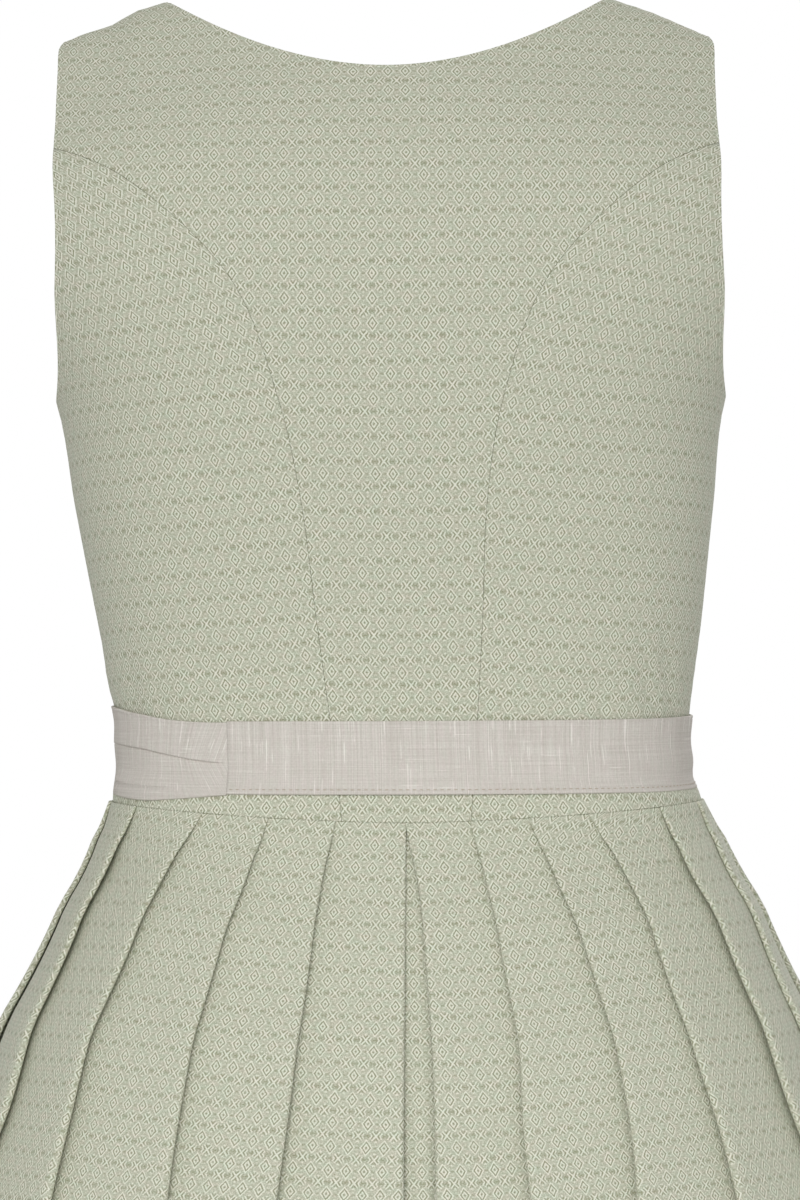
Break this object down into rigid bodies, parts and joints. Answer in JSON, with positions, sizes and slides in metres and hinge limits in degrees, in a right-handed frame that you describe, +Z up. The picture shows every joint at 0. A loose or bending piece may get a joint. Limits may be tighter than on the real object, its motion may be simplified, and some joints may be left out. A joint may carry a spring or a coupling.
{
  "type": "dirndl dress with apron",
  "caption": "Sleeveless European folk dress: princess-seamed bodice, knife-pleated bell skirt and linen apron tied in a bow.",
  "frame": {"origin": "midway between the two shoulder straps, level with the tops of the straps at the neck, where the wearer's shoulders hold the garment", "axes": "+Z up along the body and the garment's longest extent, the wearer faces -Y, the wearer's left is +X"},
  "size_m": [0.6878, 0.6177, 1.0893],
  "materials": {
    "jacquard_sage": "matte jacquard cotton",
    "jacquard_sage_skirt": "matte jacquard cotton",
    "linen": "slub linen",
    "horn": "horn-like"
  },
  "bodies": {
    "root": {"back_centre": "jacquard_sage", "back_side_left": "jacquard_sage", "back_side_right": "jacquard_sage", "front_centre_left": "jacquard_sage", "front_centre_right": "jacquard_sage", "front_side_left": "jacquard_sage", "front_side_right": "jacquard_sage", "skirt_back": "jacquard_sage_skirt", "skirt_front": "jacquard_sage_skirt", "apron_band": "linen", "apron_tie": "linen", "apron_knot": "linen", "bow_loop_side": "linen", "bow_loop_front": "linen", "tie_end_side": "linen", "tie_end_front": "linen", "apron_panel": "linen", "button_1": "horn", "button_2": "horn", "button_3": "horn", "button_4": "horn", "button_5": "horn", "button_6": "horn"}
  },
  "joints": []
}
